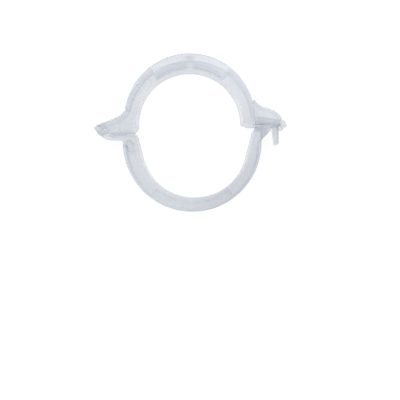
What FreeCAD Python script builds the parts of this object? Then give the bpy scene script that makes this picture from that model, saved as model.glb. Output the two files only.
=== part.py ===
import FreeCAD, Part
import Sketcher
import os
import re

# Hinged mouth-opening ring in clear plastic, millimetres.  The ring lies flat: +Z is the
# axis of the opening and z = 0 is the face it rests on.  The origin is the centre of the
# footprint.  +Y is the upper half, -X the folding strap, +X the snap latch.

DIMENSIONS = (
    # alias, value, what it is
    ("ring_width", 12.0, "depth of the ring along its axis"),
    ("flange_thick", 1.2, "front and rear flanges"),
    ("groove_depth", 0.9, "solid arms stand back from the flange edge by this much"),
    ("pocket_angle", 38.0, "half angle of the open pockets at the top and bottom"),
    ("rib_width", 3.4, "rib between the two pockets"),
    ("upper_x", -0.4, "centre of the upper half"),
    ("upper_y", 6.9, "centre of the upper half"),
    ("upper_radius", 32.75, "outside of the upper half"),
    ("upper_floor", 27.85, "floor of the upper pockets"),
    ("upper_bore", 26.65, "opening in the upper half"),
    ("upper_bore_x", -0.75, "centre of the opening in the upper half"),
    ("upper_bore_y", 6.0, "centre of the opening in the upper half"),
    ("upper_end", 1.15, "height at which the upper half ends beside the strap"),
    ("upper_end_x", -29.3, "corner from which that end slopes both ways"),
    ("upper_end_slope", 0.126, "slope of that end towards the strap"),
    ("upper_end_chamfer", 1.4, "slope of that end towards the opening"),
    ("lower_x", 0.85, "centre of the lower half"),
    ("lower_y", -5.0, "centre of the lower half"),
    ("lower_radius", 34.7, "outside of the lower half"),
    ("lower_floor", 29.6, "floor of the lower pockets"),
    ("lower_bore", 27.6, "opening in the lower half"),
    ("lower_bore_x", 1.75, "centre of the opening in the lower half"),
    ("lower_end", 2.0, "height at which the lower half ends below the keeper tab"),
    ("strap_end", -0.1, "height at which the lower half ends beside the strap"),
    ("flare_start", -12.7, "height at which the lower arms begin to spread"),
    ("flare_bore_side", 2.1, "spread of the opening at the ends, beyond its widest"),
    ("flare_outer", 1.0, "spread of the latch arm's outside, beyond its widest"),
    ("window_x", -32.2, "near side of the window in the hinge arm"),
    ("window_y", -9.3, "foot of the window in the hinge arm"),
    ("window_wide", 2.0, "window in the hinge arm"),
    ("window_tall", 5.6, "window in the hinge arm"),
    ("fold_x", -47.15, "fold lines of the strap"),
    ("fold_low", 0.9, "fold line beside the lower leaf"),
    ("fold_high", 3.3, "fold line beside the upper leaf"),
    ("film_thick", 0.5, "film between the fold lines"),
    ("film_bow", 0.85, "how far the closed film bows outwards"),
    ("leaf_gap", 0.55, "gap between a fold line and the end of its leaf"),
    ("tab_low", 4.15, "underside of the keeper tab"),
    ("tab_high", 6.4, "top of the keeper tab"),
    ("tab_root", 8.0, "top of the tab's rails where they leave the ring"),
    ("tab_bevel", 1.35, "bevel of the tab's underside beside the opening"),
    ("slot_start", 32.6, "near end of the slot in the keeper tab"),
    ("slot_finish", 45.45, "far end of the slot in the keeper tab"),
    ("slot_side", 2.2, "width of each rail beside the slot"),
    ("hook_side", 2.6, "the hook stands this far inside each face of the ring"),
    ("hook_foot", 2.3, "foot of the hook's stem"),
    ("hook_left", 33.4, "side of the stem that faces the upper half"),
    ("hook_right", 36.0, "side of the stem that faces the lever"),
    ("web_low", 4.4, "underside of the web between stem and lever"),
    ("barb_low", 6.7, "underside of the barb"),
    ("barb_tip", 46.4, "tip of the barb"),
    ("lever_side", 4.2, "the lever stands this far inside each face of the ring"),
    ("lever_low", -5.6, "end of the release lever"),
    ("lever_right", 45.0, "outer side of the release lever"),
    ("lever_round", 1.0, "rounding of the lever's end"),
    ("leaf_round", 6.0, "hollow where the upper leaf meets its arm"),
    ("knuckle_x", -43.4, "rounded end of the thick part of the upper leaf"),
    ("knuckle_round", 3.0, "rounding of that end"),
    ("knuckle_thin", 0.75, "thin part of the upper leaf between knuckle and fold"),
    ("corner_round", 0.6, "rounding of small corners"),
)

doc = FreeCAD.newDocument("mouth_ring")
sheet = doc.addObject("Spreadsheet::Sheet", "Sizes")
for row, (alias, value, note) in enumerate(DIMENSIONS, start=1):
    sheet.set("A%d" % row, note)
    sheet.set("B%d" % row, "%g" % value)
    sheet.setAlias("B%d" % row, alias)
doc.recompute()

NODES = []


def cells(text):
    """Put the sheet's name before every alias in an expression."""
    return re.sub(r"[a-z]+(_[a-z]+)+", lambda found: "Sizes." + found.group(0), text)


def bind(thing, **sizes):
    """Bind properties of a primitive to sheet expressions."""
    for name, text in sizes.items():
        thing.setExpression(name, cells(text))
    return thing


def place(thing, x="0", y="0", z="0"):
    """Bind the position of a primitive to sheet expressions."""
    thing.setExpression("Placement.Base.x", cells(x))
    thing.setExpression("Placement.Base.y", cells(y))
    thing.setExpression("Placement.Base.z", cells(z))
    return thing


def disc(name, radius, x, y, z="0", tall="ring_width"):
    """Solid disc about an axis parallel to Z."""
    thing = bind(doc.addObject("Part::Cylinder", name), Radius=radius, Height=tall)
    return place(thing, x, y, z)


def block(name, x0, x1, y0, y1, z0="0", z1="ring_width"):
    """Box between two corners."""
    thing = doc.addObject("Part::Box", name)
    bind(thing, Length="(%s) - (%s)" % (x1, x0), Width="(%s) - (%s)" % (y1, y0),
         Height="(%s) - (%s)" % (z1, z0))
    return place(thing, x0, y0, z0)


def trapezium(name, low, high, low_x, high_x):
    """Prism whose two sides lean: (left, right) at height low and at height high."""
    thing = doc.addObject("Part::Wedge", name)
    bind(thing, Ymin=low, Ymax=high, Xmin=low_x[0], Xmax=low_x[1],
         X2min=high_x[0], X2max=high_x[1], Zmax="ring_width", Z2max="ring_width")
    thing.Zmin = 0
    thing.Z2min = 0
    return thing


def cut(name, base, tool):
    thing = doc.addObject("Part::Cut", name)
    thing.Base = base
    thing.Tool = tool
    return thing


def fuse(name, *shapes):
    thing = doc.addObject("Part::MultiFuse", name)
    thing.Shapes = list(shapes)
    return thing


def common(name, *shapes):
    thing = doc.addObject("Part::MultiCommon", name)
    thing.Shapes = list(shapes)
    return thing


def node(thing, label):
    """Mark an object as a sub-part of its own."""
    thing.Label = label
    NODES.append(thing)
    return thing


def plate(name, corners, low="0", high="ring_width", rounds=()):
    """Plate parallel to XY from corner expressions, with some upright edges rounded.

    rounds holds (radius expression, indices of corners).
    """
    body = doc.addObject("PartDesign::Body", name)
    flat = [p for p in body.Origin.OriginFeatures if p.Role == "XY_Plane"][0]
    sketch = body.newObject("Sketcher::SketchObject", name + "_outline")
    sketch.AttachmentSupport = (flat, [""])
    sketch.MapMode = "FlatFace"
    sketch.setExpression(".AttachmentOffset.Base.z", cells(low))
    values = [[value_of(text) for text in corner] for corner in corners]
    count = len(corners)
    for i in range(count):
        here = FreeCAD.Vector(*values[i], 0)
        there = FreeCAD.Vector(*values[(i + 1) % count], 0)
        sketch.addGeometry(Part.LineSegment(here, there))
    for i in range(count):
        sketch.addConstraint(Sketcher.Constraint("Coincident", i, 2, (i + 1) % count, 1))
    for i, (x, y) in enumerate(corners):
        for kind, text, value in (("DistanceX", x, values[i][0]), ("DistanceY", y, values[i][1])):
            index = sketch.addConstraint(Sketcher.Constraint(kind, -1, 1, i, 1, value))
            sketch.setExpression("Constraints[%d]" % index, cells(text))
    pad = body.newObject("PartDesign::Pad", name + "_pad")
    pad.Profile = sketch
    pad.setExpression("Length", cells("(%s) - (%s)" % (high, low)))
    doc.recompute()
    for turn, (radius, chosen) in enumerate(rounds):
        spots = [values[i] for i in chosen]
        before = body.Tip
        fillet = body.newObject("PartDesign::Fillet", "%s_round%d" % (name, turn))
        fillet.Base = (before, upright_edges(before, spots))
        fillet.setExpression("Radius", cells(radius))
        body.Tip = fillet
        doc.recompute()
    return body


def value_of(text):
    """Value of a sheet expression, for the first guess of a sketch."""
    return float(sheet.evalExpression(cells(text)))


def upright_edges(feature, spots):
    """Names of the edges parallel to Z that stand on the given points."""
    names = []
    for i, edge in enumerate(feature.Shape.Edges, start=1):
        ends = [v.Point for v in edge.Vertexes]
        if len(ends) != 2 or abs(ends[0].z - ends[1].z) < 1e-6:
            continue
        if (ends[0] - ends[1]).Length - abs(ends[0].z - ends[1].z) > 1e-6:
            continue
        if any(abs(ends[0].x - x) < 1e-4 and abs(ends[0].y - y) < 1e-4 for x, y in spots):
            names.append("Edge%d" % i)
    return names


def pie(name, x, y, first, sweep):
    """Sector of a disc larger than the ring, from angle first over sweep degrees."""
    thing = disc(name, "upper_radius * 2", x, y)
    thing.setExpression("Angle", cells(sweep))
    thing.setExpression("Placement.Rotation.Angle", cells(first))
    return thing


FAR = "60"
BACK_LOW, BACK_HIGH = "0", "flange_thick"
FRONT_LOW, FRONT_HIGH = "ring_width - flange_thick", "ring_width"


def channel(half, x, region, outer, floor, bore, groove, window=None):
    """Inner wall, two flanges and rib of one half, from its envelopes.

    region is where the half has material, the others are its outlines from the
    outside in: groove (arms), floor (pockets) and bore.
    """
    def finish(name, shape, label):
        return node(cut(name + "_open", shape, window) if window else shape, label)

    slab_back = block(half + "_slab_back", "-" + FAR, FAR, "-" + FAR, FAR, BACK_LOW, BACK_HIGH)
    slab_front = block(half + "_slab_front", "-" + FAR, FAR, "-" + FAR, FAR,
                       FRONT_LOW, FRONT_HIGH)
    slab_core = block(half + "_slab_core", "-" + FAR, FAR, "-" + FAR, FAR,
                      BACK_HIGH, FRONT_LOW)
    rib_slab = block(half + "_rib_slab", x + " - rib_width / 2", x + " + rib_width / 2",
                     "-" + FAR, FAR)

    wall = cut(half + "_wall", common(half + "_wall_blank", floor, region), bore)
    node(wall, half + "_inner_wall")
    rim = cut(half + "_rim", common(half + "_rim_blank", outer, region), floor)
    finish(half + "_back", common(half + "_back_rim", rim, slab_back), half + "_rear_flange")
    finish(half + "_front", common(half + "_front_rim", rim, slab_front),
           half + "_front_flange")
    core = cut(half + "_core", common(half + "_core_blank", groove, region, slab_core), floor)
    node(common(half + "_rib", core, rib_slab), half + "_center_rib")
    return core


# ---------------------------------------------------------------- upper half
upper_outer = disc("UpperOuter", "upper_radius", "upper_x", "upper_y")
upper_groove = disc("UpperGroove", "upper_radius - groove_depth", "upper_x", "upper_y")
upper_floor = disc("UpperFloor", "upper_floor", "upper_x", "upper_y")
upper_bore = disc("UpperBore", "upper_bore", "upper_bore_x", "upper_bore_y")
upper_region = fuse("UpperRegion", plate("UpperLeftKeep", (
    ("-" + FAR, "upper_end - upper_end_slope * (%s + upper_end_x)" % FAR),
    ("upper_end_x", "upper_end"),
    ("upper_end_x + 3", "upper_end + upper_end_chamfer * 3"),
    ("0", "upper_end + upper_end_chamfer * 3"), ("0", FAR), ("-" + FAR, FAR))),
    block("UpperRightKeep", "0", FAR, "tab_high", FAR))
upper_core = channel("upper", "upper_x", upper_region, upper_outer, upper_floor,
                     upper_bore, upper_groove)
upper_sweep = "140 - pocket_angle"
upper_left_pie = pie("UpperLeftPie", "upper_x", "upper_y", "90 + pocket_angle", upper_sweep)
upper_right_pie = pie("UpperRightPie", "upper_x", "upper_y", "-50", upper_sweep)
node(common("UpperHingeArm", upper_core, upper_left_pie), "upper_hinge_arm_core")
node(common("UpperLatchArm", upper_core, upper_right_pie), "upper_latch_arm_core")

# the leaf of the upper half ends beside the upper fold line
upper_leaf = plate("UpperLeafBlank", (
    ("-31.2", "13.65"), ("-33.6", "10.3"), ("-35.3", "8.6"), ("-39.5", "6.6"),
    ("fold_x + leaf_gap", "fold_high + 0.6"), ("fold_x + leaf_gap", "fold_high"),
    ("knuckle_x", "5.15 - knuckle_thin"),
    ("knuckle_x", "upper_end + upper_end_slope * (knuckle_x - upper_end_x)"),
    ("-31.2", "upper_end - upper_end_slope * (upper_end_x + 31.2)")),
    rounds=(("leaf_round", (1, 2)), ("knuckle_round", (7,)), ("corner_round", (6,))))
node(cut("UpperLeaf", upper_leaf, upper_outer), "upper_hinge_leaf")

# keeper tab: a plate across the end of the half, with a slot for the hook
tab_blank = plate("KeeperBlank", (
    ("22", "tab_high"), ("25.9", "tab_low + tab_bevel"), ("29.2", "tab_low"),
    ("slot_finish", "tab_low"), ("slot_finish", "tab_high"), ("32.37", "tab_root"),
    ("32.37", "tab_high")))
tab_slot = block("KeeperSlot", "slot_start", "slot_finish + 1", "0", "20",
                 "slot_side", "ring_width - slot_side")
tab_open = cut("KeeperOpen", tab_blank, tab_slot)
node(cut("Keeper", tab_open, upper_bore), "keeper_tab")
lip = plate("KeeperLip", (
    ("slot_finish", "tab_low - 1.4"), ("48.25", "tab_low - 1.4"), ("48.25", "tab_low - 0.6"),
    ("47.2", "tab_high - 0.3"), ("slot_finish", "tab_high - 0.1")),
    rounds=(("corner_round", (1, 3)),))
node(lip, "keeper_end_lip")

# ---------------------------------------------------------------- lower half
FLARE_RISE = "(lower_end - flare_start)"


def arms(name, radius, x, spread_left, spread_right):
    """Outline of the lower half: a disc whose sides spread above the flare's start."""
    half_chord = "sqrt(%s ^ 2 - (lower_y - flare_start) ^ 2)" % radius
    left = "%s - %s" % (x, half_chord)
    right = "%s + %s" % (x, half_chord)
    wide = trapezium(name + "Arms", "flare_start", "lower_end + 1", (left, right),
                     ("%s - %s - %s" % (x, radius, spread_left),
                      "%s + %s + %s" % (x, radius, spread_right)))
    return fuse(name, disc(name + "Disc", radius, x, "lower_y"), wide)


lower_outer = arms("LowerOuter", "lower_radius", "lower_x", "0", "flare_outer")
lower_groove = arms("LowerGroove", "(lower_radius - groove_depth)", "lower_x",
                    "0", "flare_outer")
lower_floor = arms("LowerFloor", "lower_floor", "lower_x",
                   "flare_bore_side", "flare_bore_side + 1.6")
lower_bore = arms("LowerBore", "lower_bore", "lower_bore_x",
                  "flare_bore_side + 1", "flare_bore_side + 1")
lower_region = fuse("LowerRegion",
                    block("LowerLeftKeep", "-" + FAR, "0", "-" + FAR, "strap_end"),
                    block("LowerRightKeep", "0", FAR, "-" + FAR, "lower_end"))
window = block("HingeArmWindow", "window_x", "window_x + window_wide",
               "window_y", "window_y + window_tall")
lower_core = channel("lower", "lower_x", lower_region, lower_outer, lower_floor,
                     lower_bore, lower_groove, window)
lower_sweep = "140 - pocket_angle"
lower_left_pie = pie("LowerLeftPie", "lower_x", "lower_y", "130", lower_sweep)
lower_right_pie = pie("LowerRightPie", "lower_x", "lower_y", "-90 + pocket_angle", lower_sweep)
lower_left_core = common("LowerHingeArmBlank", lower_core, lower_left_pie)
node(cut("LowerHingeArm", lower_left_core, window), "lower_hinge_arm_core")
node(common("LowerLatchArm", lower_core, lower_right_pie), "lower_latch_arm_core")

lower_leaf = plate("LowerLeafBlank", (
    ("-31", "strap_end"), ("-36", "-0.25"), ("-39.5", "-0.7"), ("-41", "-0.75"),
    ("-42.2", "-0.35"), ("-43.1", "0.45"), ("-43.75", "1.5"), ("-44.4", "1.9"),
    ("-45.6", "1.1"), ("fold_x + leaf_gap", "fold_low - 0.35"), ("fold_x", "fold_low - 0.6"),
    ("-46.3", "-0.95"), ("-45.2", "-1.75"), ("-42", "-2.4"), ("-36.4", "-2.4"),
    ("-31", "-5.2")),
    rounds=(("corner_round * 2", (13, 14)),))
node(cut("LowerLeaf", lower_leaf, lower_outer), "lower_hinge_leaf")

# two gussets beside the hook, which the keeper tab comes down on
rest_corners = (("36", "-3.3"), ("40.3", "1.2"), ("40.3", "tab_low - 0.4"),
                ("33.4", "tab_low - 0.4"), ("33.4", "lower_end"), ("36", "lower_end"))
rest_back = plate("RestBack", rest_corners, "0", "slot_side")
rest_front = plate("RestFront", rest_corners, "ring_width - slot_side", "ring_width")
rests = fuse("Rests", rest_back, rest_front)
node(cut("TabRests", rests, cut("RestTool", lower_outer,
     block("RestToolTop", "-" + FAR, FAR, "lower_end", FAR))), "tab_rests")

# ---------------------------------------------------------------- hinge film
film = doc.addObject("Part::Feature", "Film")


def film_shape():
    """Thin bowed film between the fold lines, round at both of them."""
    x, low, high = value_of("fold_x"), value_of("fold_low"), value_of("fold_high")
    bow, half = value_of("film_bow"), value_of("film_thick / 2")
    middle = (low + high) / 2
    outer = Part.Arc(FreeCAD.Vector(x - half, high, 0),
                     FreeCAD.Vector(x - bow - half, middle, 0),
                     FreeCAD.Vector(x - half, low, 0))
    inner = Part.Arc(FreeCAD.Vector(x + half, low, 0),
                     FreeCAD.Vector(x - bow + half, middle, 0),
                     FreeCAD.Vector(x + half, high, 0))
    foot = Part.Arc(FreeCAD.Vector(x - half, low, 0), FreeCAD.Vector(x, low - half, 0),
                    FreeCAD.Vector(x + half, low, 0))
    top = Part.Arc(FreeCAD.Vector(x + half, high, 0), FreeCAD.Vector(x, high + half, 0),
                   FreeCAD.Vector(x - half, high, 0))
    outline = Part.Wire([arc.toShape() for arc in (outer, foot, inner, top)])
    return Part.Face(outline).extrude(FreeCAD.Vector(0, 0, value_of("ring_width")))


film.Shape = film_shape()
node(film, "hinge_film")

# ---------------------------------------------------------------- snap latch
HOOK_LOW, HOOK_HIGH = "hook_side", "ring_width - hook_side"
stem = plate("Stem", (("hook_left", "hook_foot"), ("hook_right", "hook_foot"),
                      ("hook_right", "barb_low"), ("hook_left", "barb_low")),
             HOOK_LOW, HOOK_HIGH)
node(stem, "latch_stem")
hook = plate("Hook", (
    ("hook_left", "barb_low"), ("hook_right", "barb_low"), ("hook_right", "web_low"),
    ("lever_right", "web_low"), ("lever_right", "barb_low"), ("barb_tip", "barb_low"),
    ("46.2", "7.9"), ("45.05", "9.65"), ("42.15", "11.8"), ("39.0", "12.95"),
    ("36.6", "13.35"), ("34.7", "14.6"), ("33.0", "16.3"), ("32.0", "17.5"),
    ("31.6", "16.6"), ("32.2", "14.0"), ("32.75", "11.5"), ("hook_left", "8.6")),
    HOOK_LOW, HOOK_HIGH, rounds=(("corner_round", (9, 10, 11)),))
node(hook, "latch_hook")
lever = plate("Lever", (
    ("42.75", "lever_low"), ("lever_right", "lever_low"), ("lever_right", "web_low"),
    ("41.7", "web_low")),
    "lever_side", "ring_width - lever_side", rounds=(("lever_round", (0, 1)),))
node(lever, "release_lever")

# ---------------------------------------------------------------- check and write
doc.recompute()
for thing in doc.Objects:
    if "Invalid" in thing.State or "Error" in thing.State:
        raise SystemExit("%s failed: %s" % (thing.Name, thing.State))
os.makedirs("parts", exist_ok=True)
for thing in NODES:
    shape = thing.Shape
    if shape.isNull() or not shape.isValid() or not shape.Solids:
        raise SystemExit("%s has no sound shape" % thing.Label)
    shape.exportStep("parts/%s.step" % thing.Label)
    box = shape.BoundBox
    print("%-24s %d solid(s) %8.1f mm3  x %6.2f..%6.2f  y %6.2f..%6.2f  z %5.2f..%5.2f" % (
        thing.Label, len(shape.Solids), shape.Volume, box.XMin, box.XMax,
        box.YMin, box.YMax, box.ZMin, box.ZMax))
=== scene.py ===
import math

import bmesh
import bpy
from mathutils import Matrix, Vector


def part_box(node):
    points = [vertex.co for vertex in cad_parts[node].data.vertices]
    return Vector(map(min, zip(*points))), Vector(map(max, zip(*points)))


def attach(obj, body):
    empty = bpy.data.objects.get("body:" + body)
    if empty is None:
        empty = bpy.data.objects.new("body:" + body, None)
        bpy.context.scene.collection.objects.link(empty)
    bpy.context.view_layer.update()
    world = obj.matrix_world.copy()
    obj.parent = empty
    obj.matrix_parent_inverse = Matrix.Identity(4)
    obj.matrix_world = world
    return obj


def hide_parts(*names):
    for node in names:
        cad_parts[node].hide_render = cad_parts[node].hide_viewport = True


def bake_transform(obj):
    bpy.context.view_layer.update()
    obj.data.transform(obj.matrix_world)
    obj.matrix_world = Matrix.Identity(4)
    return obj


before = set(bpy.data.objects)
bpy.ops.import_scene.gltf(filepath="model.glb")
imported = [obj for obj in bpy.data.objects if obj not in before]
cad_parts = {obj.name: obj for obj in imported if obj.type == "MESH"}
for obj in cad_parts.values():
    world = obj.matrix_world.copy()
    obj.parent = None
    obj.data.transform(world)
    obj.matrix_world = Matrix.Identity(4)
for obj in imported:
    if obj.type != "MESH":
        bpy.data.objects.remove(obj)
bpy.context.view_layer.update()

# Looks of the cheek retractor: a clear ring in two halves, folding at a film on one side
# and closed by a snap latch on the other.  Shapes are built in millimetres in the CAD frame
# and scaled to metres by soften().  A corner of an outline that carries a third number is
# rounded to that radius.

MM = 0.001


def box_mm(node):
    """Lowest and highest corner of a CAD node, in millimetres."""
    low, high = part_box(node)
    return low / MM, high / MM


# ------------------------------------------------------------------ sizes of the ring
WIDTH = box_mm("upper_inner_wall")[1].z
FLANGE = box_mm("upper_rear_flange")[1].z
ARM_INSET = 0.9
UPPER = (-0.4, 6.9)
UPPER_OUTER = box_mm("upper_front_flange")[1].y - UPPER[1]
UPPER_GROOVE = UPPER_OUTER - ARM_INSET
UPPER_FLOOR = box_mm("upper_inner_wall")[1].y - UPPER[1]
UPPER_BORE_AT = (-0.75, 6.0)
UPPER_BORE = 26.65
LOWER = (0.85, -5.0)
LOWER_OUTER = LOWER[1] - box_mm("lower_front_flange")[0].y
LOWER_GROOVE = LOWER_OUTER - ARM_INSET
LOWER_FLOOR = 29.6
LOWER_BORE_AT = (1.75, -5.0)
LOWER_BORE = 27.6
LOWER_TOP = box_mm("lower_inner_wall")[1].y
POCKET_HALF_ANGLE = 38.0
RIB_HALF = 1.7

# ------------------------------------------------------------------ sizes at the two ends
TAB_LOW, TAB_TOP = 4.15, 8.0
SLOT_START, SLOT_END, SLOT_SIDE = 32.6, 45.4, 2.2
LATCH_SINK = 0.1        # how deep the latch starts in the lower half
LATCH_SIDE, LEVER_SIDE = 2.6, 4.2
FILM_MIDDLE = (-46.728, 2.1)
FILM_RADIUS = 1.272
FILM_THICK = 0.5

# ------------------------------------------------------------------ modelling
OVERCUT = 3.0           # how far a cutting tool reaches past what it cuts
SHELL_EDGE, LATCH_EDGE, FILM_EDGE = 0.28, 0.25, 0.12
SHARP = 32              # degrees at which an edge counts as sharp
WELD, SLIVER = 0.02, 0.005
UNDER_AREA = 1.0        # smallest downward face that gets the clearer plastic

# ------------------------------------------------------------------ material patterns
CLOUD_SCALE, GRAIN_SCALE = 110, 700
FLOW_SCALE = 900        # flow lines per metre of distance from the axis, roughly
FLOW_WAVER = 3.0        # how far the clouds push them about
LIGHT_AND_SHADE_DRIFT = 900             # painted light and shade: change of tint per square metre, see tinted()
DARKER, LIGHTER = (0.86, 0.86, 0.87), (1.14, 1.14, 1.12)
# colour for faces seen edge-on: a deeper tint where more plastic is looked through, and painted
# shade on walls and bevels
EDGE_ON_TINT_AND_SHADE = (0.66, 0.70, 0.80)
DENSITY_VARIES = 0.12
ROUGHNESS_VARIES = 0.08


# ------------------------------------------------------------------ materials
def socket(node, name, value):
    node.inputs[name].default_value = value


def spread(tree, source, low, high, name):
    """Map Range from 0..1 to low..high."""
    node = tree.nodes.new("ShaderNodeMapRange")
    node.name = name
    socket(node, "To Min", low)
    socket(node, "To Max", high)
    tree.links.new(source, node.inputs["Value"])
    return node.outputs["Result"]


def noise(tree, place, name, scale, dimensions="3D"):
    """Noise over a vector, or over one number when it has one dimension."""
    node = tree.nodes.new("ShaderNodeTexNoise")
    node.noise_dimensions = dimensions
    node.name = name
    socket(node, "Scale", scale)
    socket(node, "Detail", 2)
    tree.links.new(place, node.inputs["W" if dimensions == "1D" else "Vector"])
    return node.outputs["Fac"]


def maths(tree, operation, first, second):
    """Math node on two sockets or numbers."""
    node = tree.nodes.new("ShaderNodeMath")
    node.operation = operation
    for slot, value in zip(node.inputs, (first, second)):
        if isinstance(value, (int, float)):
            slot.default_value = value
        else:
            tree.links.new(value, slot)
    return node.outputs["Value"]


def shade(tone, factors):
    """The tone with each channel multiplied, as an opaque colour."""
    return tuple(t * f for t, f in zip(tone, factors)) + (1,)


def flow_lines(tree, place, cloud):
    """Fine rings of noise around the axis, made uneven by the clouds."""
    flat = tree.nodes.new("ShaderNodeVectorMath")
    flat.operation = "MULTIPLY"
    flat.inputs[1].default_value = (1, 1, 0)
    tree.links.new(place, flat.inputs[0])
    radius = tree.nodes.new("ShaderNodeVectorMath")
    radius.operation = "LENGTH"
    tree.links.new(flat.outputs["Vector"], radius.inputs[0])
    bent = maths(tree, "ADD", maths(tree, "MULTIPLY", radius.outputs["Value"], FLOW_SCALE),
                 maths(tree, "MULTIPLY", cloud, FLOW_WAVER))
    return noise(tree, bent, "flow", 1.0, "1D")


def tinted(tree, tone, place, flow):
    """The tone, varied along the flow lines, with painted light and shade towards the latch.

    On the latch side the lower half is a little darker, painted shade, and the upper half a
    little lighter, painted light.
    """
    split = tree.nodes.new("ShaderNodeSeparateXYZ")
    tree.links.new(place, split.inputs["Vector"])
    # painted light and shade: on the latch side the tint grows lighter upwards and darker
    # downwards
    latch_side = maths(tree, "MAXIMUM", split.outputs["X"], 0)
    upwards = maths(tree, "MULTIPLY", split.outputs["Y"], LIGHT_AND_SHADE_DRIFT)
    painted_light_and_shade = maths(tree, "MULTIPLY", latch_side, upwards)
    amount = maths(tree, "ADD", painted_light_and_shade, spread(tree, flow, 0.05, 0.95, "tint_amount"))
    tint = tree.nodes.new("ShaderNodeMix")
    tint.data_type = "RGBA"
    tree.links.new(amount, tint.inputs["Factor"])
    socket(tint, "A", shade(tone, DARKER))
    socket(tint, "B", shade(tone, LIGHTER))
    return tint.outputs["Result"]


def clear_plastic(name, tone, face, edge, rough, painted_glow=0.12):
    """Milky clear plastic: soft to see through, with clouds and faint flow lines.

    tone is the middle of its colour, face and edge are how dense it is when seen
    straight on and from the side, rough is the middle of its roughness and the glow
    is painted light, an emission in its own colour that lifts the shade in its gaps.
    """
    material = bpy.data.materials.new(name)
    material.use_nodes = True
    tree = material.node_tree
    shader = tree.nodes["Principled BSDF"]
    place = tree.nodes.new("ShaderNodeTexCoord").outputs["Object"]
    cloud = noise(tree, place, "cloud", CLOUD_SCALE)
    grain = noise(tree, place, "grain", GRAIN_SCALE)
    flow = flow_lines(tree, place, cloud)
    tint = tinted(tree, tone, place, flow)

    weight = tree.nodes.new("ShaderNodeLayerWeight")
    socket(weight, "Blend", 0.5)
    facing = weight.outputs["Facing"]
    # faces seen edge-on, such as walls and bevels, get a darker, bluer base: a deeper tint and
    # painted shade
    edge_on_tint_and_shade = tree.nodes.new("ShaderNodeMix")
    edge_on_tint_and_shade.data_type = "RGBA"
    edge_on_tint_and_shade.name = "edge_on_tint_and_painted_shade"
    tree.links.new(facing, edge_on_tint_and_shade.inputs["Factor"])
    tree.links.new(tint, edge_on_tint_and_shade.inputs["A"])
    socket(edge_on_tint_and_shade, "B", shade(tone, EDGE_ON_TINT_AND_SHADE))
    tree.links.new(edge_on_tint_and_shade.outputs["Result"], shader.inputs["Base Color"])
    # painted light: the plastic glows in its own colour, lifting the shade in its gaps
    tree.links.new(edge_on_tint_and_shade.outputs["Result"], shader.inputs["Emission Color"])
    socket(shader, "Emission Strength", painted_glow)

    turned = spread(tree, facing, face, edge, "turned_away")
    mottle = spread(tree, cloud, 1 - DENSITY_VARIES, 1 + DENSITY_VARIES, "mottle")
    streak = spread(tree, flow, 1 + DENSITY_VARIES, 1 - DENSITY_VARIES, "streak")
    dense = maths(tree, "MULTIPLY", turned, maths(tree, "MULTIPLY", mottle, streak))
    tree.links.new(dense, shader.inputs["Alpha"])

    gloss = spread(tree, cloud, rough - ROUGHNESS_VARIES, rough + ROUGHNESS_VARIES, "gloss")
    tree.links.new(gloss, shader.inputs["Roughness"])
    bump = tree.nodes.new("ShaderNodeBump")
    socket(bump, "Strength", 0.1)
    socket(bump, "Distance", 0.0002)
    tree.links.new(grain, bump.inputs["Height"])
    tree.links.new(bump.outputs["Normal"], shader.inputs["Normal"])
    socket(shader, "IOR", 1.5)
    socket(shader, "Subsurface Weight", 0.4)
    socket(shader, "Subsurface Radius", (1, 1, 1))
    socket(shader, "Subsurface Scale", 0.004)
    socket(shader, "Coat Weight", 0.25)
    socket(shader, "Coat Roughness", 0.08)
    return material


TONE = (0.463, 0.496, 0.550)
SKIN = clear_plastic("clear_plastic_skin", TONE, 0.63, 0.42, 0.30)
HOLLOW = clear_plastic("clear_plastic_hollow", TONE, 0.08, 0.62, 0.30)
UNDER = clear_plastic("clear_plastic_under", TONE, 0.14, 0.14, 0.30)
RIM = clear_plastic("clear_plastic_rim", (0.41, 0.445, 0.50), 0.52, 0.34, 0.25)
LATCH = clear_plastic("clear_plastic_latch", (0.44, 0.475, 0.53), 0.52, 0.26, 0.30)
TAB = clear_plastic("clear_plastic_tab", TONE, 0.46, 0.30, 0.30)
# the film's lighter tone and stronger glow are painted light, lifting the shade in the gaps of
# the ear
FILM = clear_plastic("clear_plastic_film", (0.50, 0.535, 0.59), 0.72, 0.36, 0.24, 0.20)


# ------------------------------------------------------------------ outlines
def arc(centre, radius, first, last, step=1.5):
    """Points of an arc between two angles in degrees, both ends included."""
    count = max(2, math.ceil(abs(last - first) / step))
    turns = [math.radians(first + (last - first) * i / count) for i in range(count + 1)]
    return [(centre[0] + radius * math.cos(t), centre[1] + radius * math.sin(t)) for t in turns]


def angle_at_y(centre, radius, y):
    """Angle in degrees at which a circle's right side reaches a height."""
    return math.degrees(math.asin((y - centre[1]) / radius))


def rounded(outline):
    """The outline with an arc in place of every corner that carries a radius."""
    done = []
    for i, corner in enumerate(outline):
        here = Vector(corner[:2])
        if len(corner) == 2:
            done.append(here)
            continue
        radius = corner[2]
        before = (Vector(outline[i - 1][:2]) - here).normalized()
        after = (Vector(outline[(i + 1) % len(outline)][:2]) - here).normalized()
        half = before.angle(after) / 2
        middle = here + (before + after).normalized() * radius / math.sin(half)
        arm = here + before * radius / math.tan(half) - middle
        side = 1 if before.x * after.y - before.y * after.x < 0 else -1
        sweep = side * (math.pi - 2 * half)
        count = max(2, math.ceil(math.degrees(abs(sweep)) / 10))
        for k in range(count + 1):
            done.append(middle + Matrix.Rotation(sweep * k / count, 2) @ arm)
    return done


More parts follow.
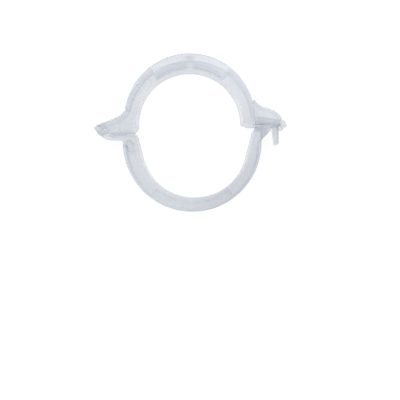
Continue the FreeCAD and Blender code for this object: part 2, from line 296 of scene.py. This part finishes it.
# ------------------------------------------------------------------ solids
def prism(name, outline, low, high, material):
    """Solid between two heights with the given outline."""
    corners = rounded(outline)
    shape = bmesh.new()
    floor = [shape.verts.new((p[0], p[1], low)) for p in corners]
    roof = [shape.verts.new((p[0], p[1], high)) for p in corners]
    shape.faces.new(reversed(floor))
    shape.faces.new(roof)
    count = len(corners)
    for i in range(count):
        j = (i + 1) % count
        shape.faces.new((floor[i], floor[j], roof[j], roof[i]))
    bmesh.ops.recalc_face_normals(shape, faces=shape.faces)
    mesh = bpy.data.meshes.new(name)
    shape.to_mesh(mesh)
    shape.free()
    mesh.materials.append(material)
    piece = bpy.data.objects.new(name, mesh)
    bpy.context.scene.collection.objects.link(piece)
    return piece


def bake(piece):
    """Replace the mesh by what its modifiers make of it."""
    graph = bpy.context.evaluated_depsgraph_get()
    made = bpy.data.meshes.new_from_object(piece.evaluated_get(graph))
    made.name = piece.name
    piece.modifiers.clear()
    piece.data = made


def combine(piece, operation, *tools):
    """Cut the tools from the piece, or join them to it."""
    for tool in tools:
        step = piece.modifiers.new(tool.name, "BOOLEAN")
        step.object = tool
        step.operation = operation
        step.solver = "EXACT"
        step.material_mode = "TRANSFER"
    bake(piece)
    for tool in tools:
        bpy.data.objects.remove(tool)


def add_material(piece, material):
    """Number of a new material slot on the piece."""
    piece.data.materials.append(material)
    return len(piece.data.materials) - 1


def soften(piece, width, segments=3, rim=RIM):
    """Weld stray points, round every sharp edge in the rim's plastic and scale to metres."""
    shape = bmesh.new()
    shape.from_mesh(piece.data)
    bmesh.ops.remove_doubles(shape, verts=shape.verts, dist=WELD)
    bmesh.ops.dissolve_degenerate(shape, edges=shape.edges, dist=SLIVER)
    under = add_material(piece, UNDER)
    for face in shape.faces:
        face.smooth = True
        if face.normal.z < -0.99 and face.calc_area() > UNDER_AREA:
            face.material_index = under
    shape.to_mesh(piece.data)
    shape.free()
    edge = piece.modifiers.new("edges", "BEVEL")
    edge.width = width
    edge.segments = segments
    edge.limit_method = "ANGLE"
    edge.angle_limit = math.radians(SHARP)
    edge.use_clamp_overlap = False
    edge.material = add_material(piece, rim)
    edge.miter_outer = "MITER_ARC"
    normals = piece.modifiers.new("normals", "WEIGHTED_NORMAL")
    normals.mode = "FACE_AREA"
    normals.weight = 90
    normals.keep_sharp = False
    bake(piece)
    piece.data.transform(Matrix.Scale(MM, 4))


# ------------------------------------------------------------------ recess of both halves
def channel_tool(name, centre, outer, groove, floor, ends, turn):
    """Tool for the recess between the flanges: arms to the groove, pockets to the floor.

    ends are the angles at which the groove starts and stops, turn is 0 for the upper
    half and 180 for the lower one, whose pockets face down.
    """
    first, last = (angle + turn for angle in ends)
    near, far = 90 - POCKET_HALF_ANGLE, 90 + POCKET_HALF_ANGLE

    def rib_angle(radius, side):
        return 90 - side * math.degrees(math.asin(RIB_HALF / radius))

    inner = arc(centre, groove, first, near + turn)
    inner += arc(centre, floor, near + turn, rib_angle(floor, 1) + turn)
    inner += arc(centre, groove, rib_angle(groove, 1) + turn, rib_angle(groove, -1) + turn)
    inner += arc(centre, floor, rib_angle(floor, -1) + turn, far + turn)
    inner += arc(centre, groove, far + turn, last)
    rim = arc(centre, outer + OVERCUT, last, first)
    return prism(name, inner + rim, FLANGE, WIDTH - FLANGE, HOLLOW)


# ------------------------------------------------------------------ upper half
def keeper_tab(join):
    """Tab that holds the latch, with the lip at its end; join is where it meets the ring."""
    outline = [(31.2, TAB_LOW), (45.45, TAB_LOW), (45.45, 2.75), (48.25, 2.75, 0.5),
               (48.25, 3.55), (47.2, 6.1, 0.6), (45.45, 6.35), join, (31.2, TAB_TOP)]
    return prism("tab", outline, 0, WIDTH, TAB)


def upper_shell():
    """Upper half in one moulding, with its leaf and the keeper tab."""
    leaf_join = 172.2
    bore_ends = (184.45, angle_at_y(UPPER_BORE_AT, UPPER_BORE, 5.5))
    leaf = [(-33.6, 10.3, 6.0), (-35.3, 8.6, 5.0), (-39.5, 6.6, 3.0), (-46.6, 3.9),
            (-46.6, 3.3), (-43.4, 4.4), (-43.4, -0.63, 3.0), (-29.3, 1.15, 0.5)]
    outer = arc(UPPER, UPPER_OUTER, angle_at_y(UPPER, UPPER_OUTER, TAB_TOP), leaf_join)
    outline = [(29.2, TAB_LOW), (32.3, TAB_LOW)] + outer + leaf
    outline += arc(UPPER_BORE_AT, UPPER_BORE, *bore_ends)
    shell = prism("upper_shell", outline, 0, WIDTH, SKIN)
    recess = channel_tool("upper_recess", UPPER, UPPER_OUTER, UPPER_GROOVE, UPPER_FLOOR,
                          (3.2, leaf_join - 1.6), 0)
    slot = prism("keeper_slot", [(SLOT_START, 2), (SLOT_END, 2), (SLOT_END, 9), (SLOT_START, 9)],
                 SLOT_SIDE, WIDTH - SLOT_SIDE, HOLLOW)
    combine(shell, "UNION", keeper_tab(outer[0]))
    combine(shell, "DIFFERENCE", recess, slot)
    soften(shell, SHELL_EDGE)
    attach(shell, "upper_half")
    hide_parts("upper_inner_wall", "upper_front_flange", "upper_rear_flange",
                "upper_center_rib", "upper_hinge_arm_core", "upper_latch_arm_core",
                "upper_hinge_leaf", "keeper_tab", "keeper_end_lip")


# ------------------------------------------------------------------ lower half
def window_tool():
    """Tool for the hole through the lower hinge arm."""
    left, right, low, high, corner = -32.2, -30.2, -9.3, -3.7, 0.4
    outline = [(left, low, corner), (right, low, corner), (right, high, corner),
               (left, high, corner)]
    return prism("hinge_arm_window", outline, -OVERCUT, WIDTH + OVERCUT, HOLLOW)


def lower_shell():
    """Lower half in one moulding, with its leaf and the rests under the keeper tab."""
    leaf = [(-28.06, -0.1, 0.5), (-36, -0.25), (-39.5, -0.7, 3.0), (-41, -0.75, 1.5),
            (-42.2, -0.35, 1.5), (-43.1, 0.45, 1.5), (-43.75, 1.5), (-44.4, 1.9, 0.5),
            (-45.6, 1.1, 1.0), (-46.6, 0.55), (-47.15, 0.3), (-46.3, -0.95, 1.0),
            (-45.2, -1.75, 1.5), (-42, -2.4, 3.0), (-36.4, -2.4, 1.5)]
    latch_end = [(36.43, LOWER_TOP), (32.18, LOWER_TOP), (28.25, -12.4)]
    outline = leaf + arc(LOWER, LOWER_OUTER, 177.9, 359.2) + latch_end
    outline += arc(LOWER_BORE_AT, LOWER_BORE, 343.5, 196.5)
    shell = prism("lower_shell", outline, 0, WIDTH, SKIN)
    recess = channel_tool("lower_recess", LOWER, LOWER_OUTER, LOWER_GROOVE, LOWER_FLOOR,
                          (1.0, 178.2), 180)
    combine(shell, "DIFFERENCE", recess, window_tool())
    rest = [(35.4, -4.0), (36, -3.3), (40.3, 1.2), (40.3, 4.05), (33.4, 4.05), (33.4, 1.5)]
    combine(shell, "UNION", prism("rest_back", rest, 0, SLOT_SIDE, SKIN),
            prism("rest_front", rest, WIDTH - SLOT_SIDE, WIDTH, SKIN))
    soften(shell, SHELL_EDGE)
    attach(shell, "lower_half")
    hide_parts("lower_inner_wall", "lower_front_flange", "lower_rear_flange",
                "lower_center_rib", "lower_hinge_arm_core", "lower_latch_arm_core",
                "lower_hinge_leaf", "tab_rests")


# ------------------------------------------------------------------ latch
def latch():
    """Stem, barbed hook and release lever in one piece."""
    low = LOWER_TOP - LATCH_SINK
    stem = [(33.4, low), (36, low), (36, 4.4, 0.4), (45, 4.4)]
    barb = [(45, 6.7), (46.4, 6.7, 0.35), (46.2, 7.9, 1.0)]
    back = [(45.05, 9.65, 3.0), (42.15, 11.8, 4.0), (39, 12.95, 3.0), (36.6, 13.35, 2.5),
            (34.7, 14.6, 2.5), (33, 16.3, 2.0), (32, 17.5, 0.4)]
    beside_ring = [(31.6, 16.6, 0.5), (32.2, 14, 6.0), (32.75, 11.5, 6.0), (33.4, 8.6, 6.0)]
    hook = prism("snap_latch", stem + barb + back + beside_ring,
                 LATCH_SIDE, WIDTH - LATCH_SIDE, LATCH)
    lever = prism("lever", [(42.75, -5.6, 1.0), (44.98, -5.6, 1.0), (44.98, 5.0), (41.6, 5.0)],
                  LEVER_SIDE, WIDTH - LEVER_SIDE, LATCH)
    combine(hook, "UNION", lever)
    soften(hook, LATCH_EDGE)
    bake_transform(hook)
    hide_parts("latch_stem", "latch_hook", "release_lever")


# ------------------------------------------------------------------ hinge film
def ribbon(name, line):
    """Strip of film along a line, as deep as the ring."""
    points = [Vector(p) for p in line]
    left, right = [], []
    for i, here in enumerate(points):
        along = points[min(i + 1, len(points) - 1)] - points[max(i - 1, 0)]
        across = Vector((-along.y, along.x)).normalized() * FILM_THICK / 2
        left.append(tuple(here + across))
        right.append(tuple(here - across))
    return prism(name, right + left[::-1], 0, WIDTH, FILM)


def hinge_strip(name, line):
    """One half of the film, a strip along the line with rounded edges.
    """
    strip = ribbon(name, line)
    soften(strip, FILM_EDGE, 2, FILM)
    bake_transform(strip)
    return strip


def hinge_film():
    """The film as two strips that meet halfway between the fold lines."""
    upper_line = [(-46.3, 3.66), (-46.7, 3.52)] + arc(FILM_MIDDLE, FILM_RADIUS, 108, 180, 6)
    lower_line = arc(FILM_MIDDLE, FILM_RADIUS, 180, 252, 6) + [(-46.85, 0.4), (-46.6, 0.05)]
    upper = hinge_strip("film_upper", upper_line)
    hinge_strip("film_lower", lower_line)
    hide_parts("hinge_film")


# ------------------------------------------------------------------ studio
def studio_floor():
    """Plain white floor, a hair below the ring."""
    half, drop = 3.0, 0.00006
    mesh = bpy.data.meshes.new("studio_floor")
    corners = [(-half, -half), (half, -half), (half, half), (-half, half)]
    mesh.from_pydata([(x, y, -drop) for x, y in corners], [], [(0, 1, 2, 3)])
    floor = bpy.data.objects.new("studio_floor", mesh)
    bpy.context.scene.collection.objects.link(floor)
    paint = bpy.data.materials.new("studio_white")
    paint.use_nodes = True
    shader = paint.node_tree.nodes["Principled BSDF"]
    socket(shader, "Base Color", (0.3, 0.3, 0.3, 1))
    socket(shader, "Roughness", 0.9)
    socket(shader, "Specular IOR Level", 0.1)
    socket(shader, "Emission Color", (1, 1, 1, 1))
    socket(shader, "Emission Strength", 0.78)
    mesh.materials.append(paint)


def area_light(name, place, size, power):
    """Round light aimed at the middle of the ring, in metres and watts."""
    data = bpy.data.lights.new(name, "AREA")
    data.shape = "DISK"
    data.size = size
    data.energy = power
    light = bpy.data.objects.new(name, data)
    light.location = place
    aim = Vector((0, 0, 0.006)) - Vector(place)
    light.rotation_euler = aim.to_track_quat("-Z", "Y").to_euler()
    bpy.context.scene.collection.objects.link(light)


def studio():
    """Even white studio with a soft key from the upper left."""
    studio_floor()
    area_light("key", (-0.12, 0.27, 0.23), 0.16, 0.5)
    area_light("fill", (-0.6, 0.05, 0.5), 0.6, 0.8)
    world = bpy.data.worlds.new("studio_world")
    world.use_nodes = True
    sky = world.node_tree.nodes["Background"]
    socket(sky, "Color", (1, 1, 1, 1))
    socket(sky, "Strength", 0.8)
    bpy.context.scene.world = world
    bpy.context.scene.view_settings.view_transform = "Standard"
    bpy.context.scene.cycles.transparent_max_bounces = 32


def camera():
    """Straight down on the ring, which sits above the middle of the frame."""
    data = bpy.data.cameras.new("camera")
    data.lens = 37.07
    data.sensor_width = 36
    data.clip_start = 0.001
    eye = bpy.data.objects.new("camera", data)
    eye.location = Vector((4.75, -33.85, 218)) * MM
    bpy.context.scene.collection.objects.link(eye)
    bpy.context.scene.camera = eye


upper_shell()
lower_shell()
latch()
hinge_film()
studio()
camera()
